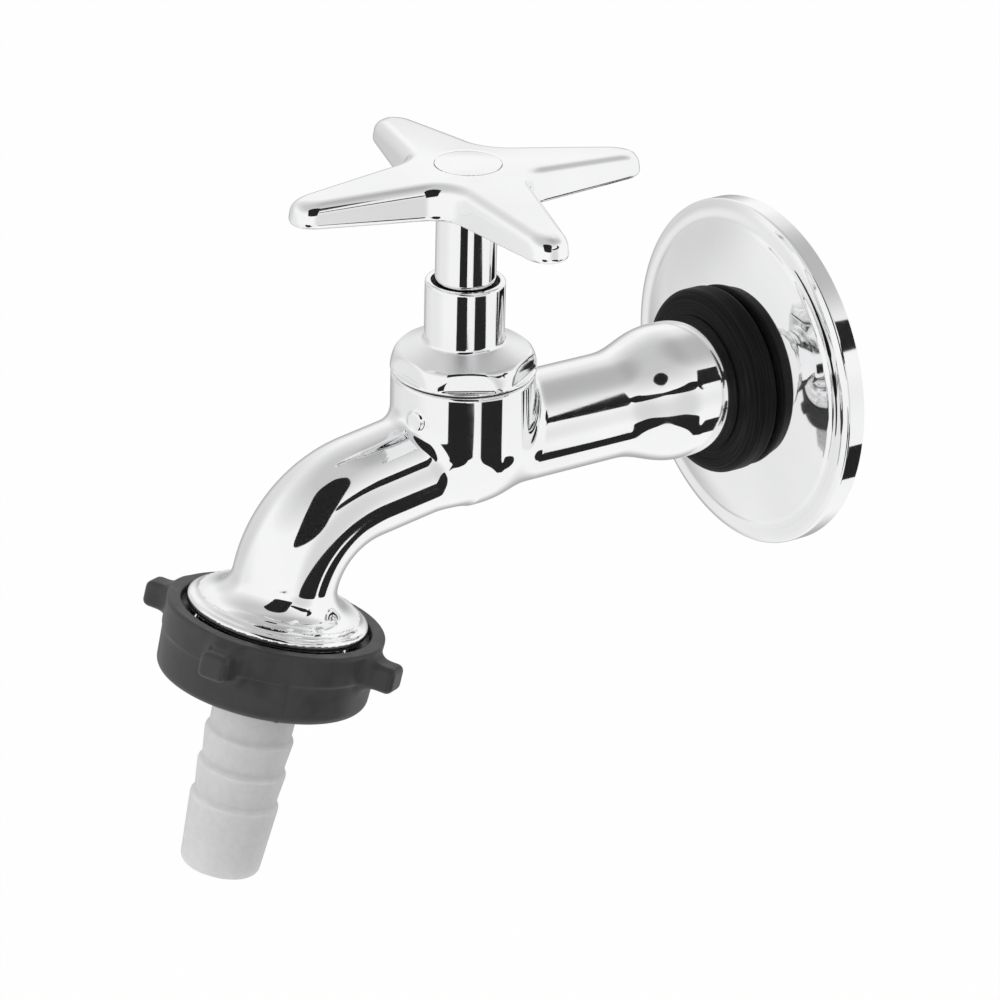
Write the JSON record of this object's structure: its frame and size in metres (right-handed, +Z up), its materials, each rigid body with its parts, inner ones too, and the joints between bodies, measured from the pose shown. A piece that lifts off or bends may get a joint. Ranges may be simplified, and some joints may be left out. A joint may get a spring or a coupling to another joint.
{
  "type": "garden tap",
  "caption": "Wall-mounted garden tap with a cross handle, a threaded inlet behind a round flange, a bent spout and a barbed hose tail held by a union nut.",
  "frame": {"origin": "centre of the inlet thread in the wall plane, where the flange's rim meets the wall", "axes": "+Y into the wall along the inlet thread, +Z up along the spindle"},
  "size_m": [0.0598, 0.1245, 0.1132],
  "materials": {
    "chrome": "polished",
    "brass": "machined",
    "steel": "plain",
    "black_ring": "satin with fine scratches",
    "nut_plastic": "satin",
    "tail_plastic": "milky, slightly translucent",
    "rubber": "matt",
    "fibre": "matt"
  },
  "bodies": {
    "tap_set": {"valve_body": "chrome", "wall_flange": "chrome", "spacer_ring": "black_ring", "bonnet_gasket": "fibre", "bonnet": "chrome", "dust_seal": "rubber"},
    "jumper_set": {"jumper_valve": "brass", "seat_washer": "rubber", "washer_plate": "brass", "washer_nut": "brass"},
    "spindle_set": {"spindle": "chrome", "spindle_ring_lower": "rubber", "spindle_ring_upper": "rubber", "handle": "chrome", "spring_washer": "steel", "handle_screw": "steel", "handle_cap": "chrome"},
    "tail_set": {"hose_tail": "tail_plastic", "hose_washer": "rubber"},
    "nut_set": {"union_nut": "nut_plastic"}
  },
  "joints": [
    {"name": "spindle_lift", "type": "slide", "parent": "tap_set", "child": "jumper_set", "axis": [0, 0, 1], "range_m": [0, 0.0039]},
    {"name": "handle_turn", "type": "hinge", "parent": "jumper_set", "child": "spindle_set", "pos_m": [0, -0.058, 0], "axis": [0, 0, 1], "range_deg": [0, 540]},
    {"name": "tail_drop", "type": "slide", "parent": "tap_set", "child": "tail_set", "axis": [0, 0.2445, 0.9697], "range_m": [-0.005, 0]},
    {"name": "nut_turn", "type": "hinge", "parent": "tail_set", "child": "nut_set", "pos_m": [0, -0.0918, -0.022], "axis": [0, 0.2445, 0.9697], "range_deg": [-990, 0]}
  ],
  "couplings": [
    {"joint": "spindle_lift", "follows": "handle_turn", "m_per_rad": 0.00040425},
    {"joint": "tail_drop", "follows": "nut_turn", "m_per_rad": 0.00028871}
  ]
}
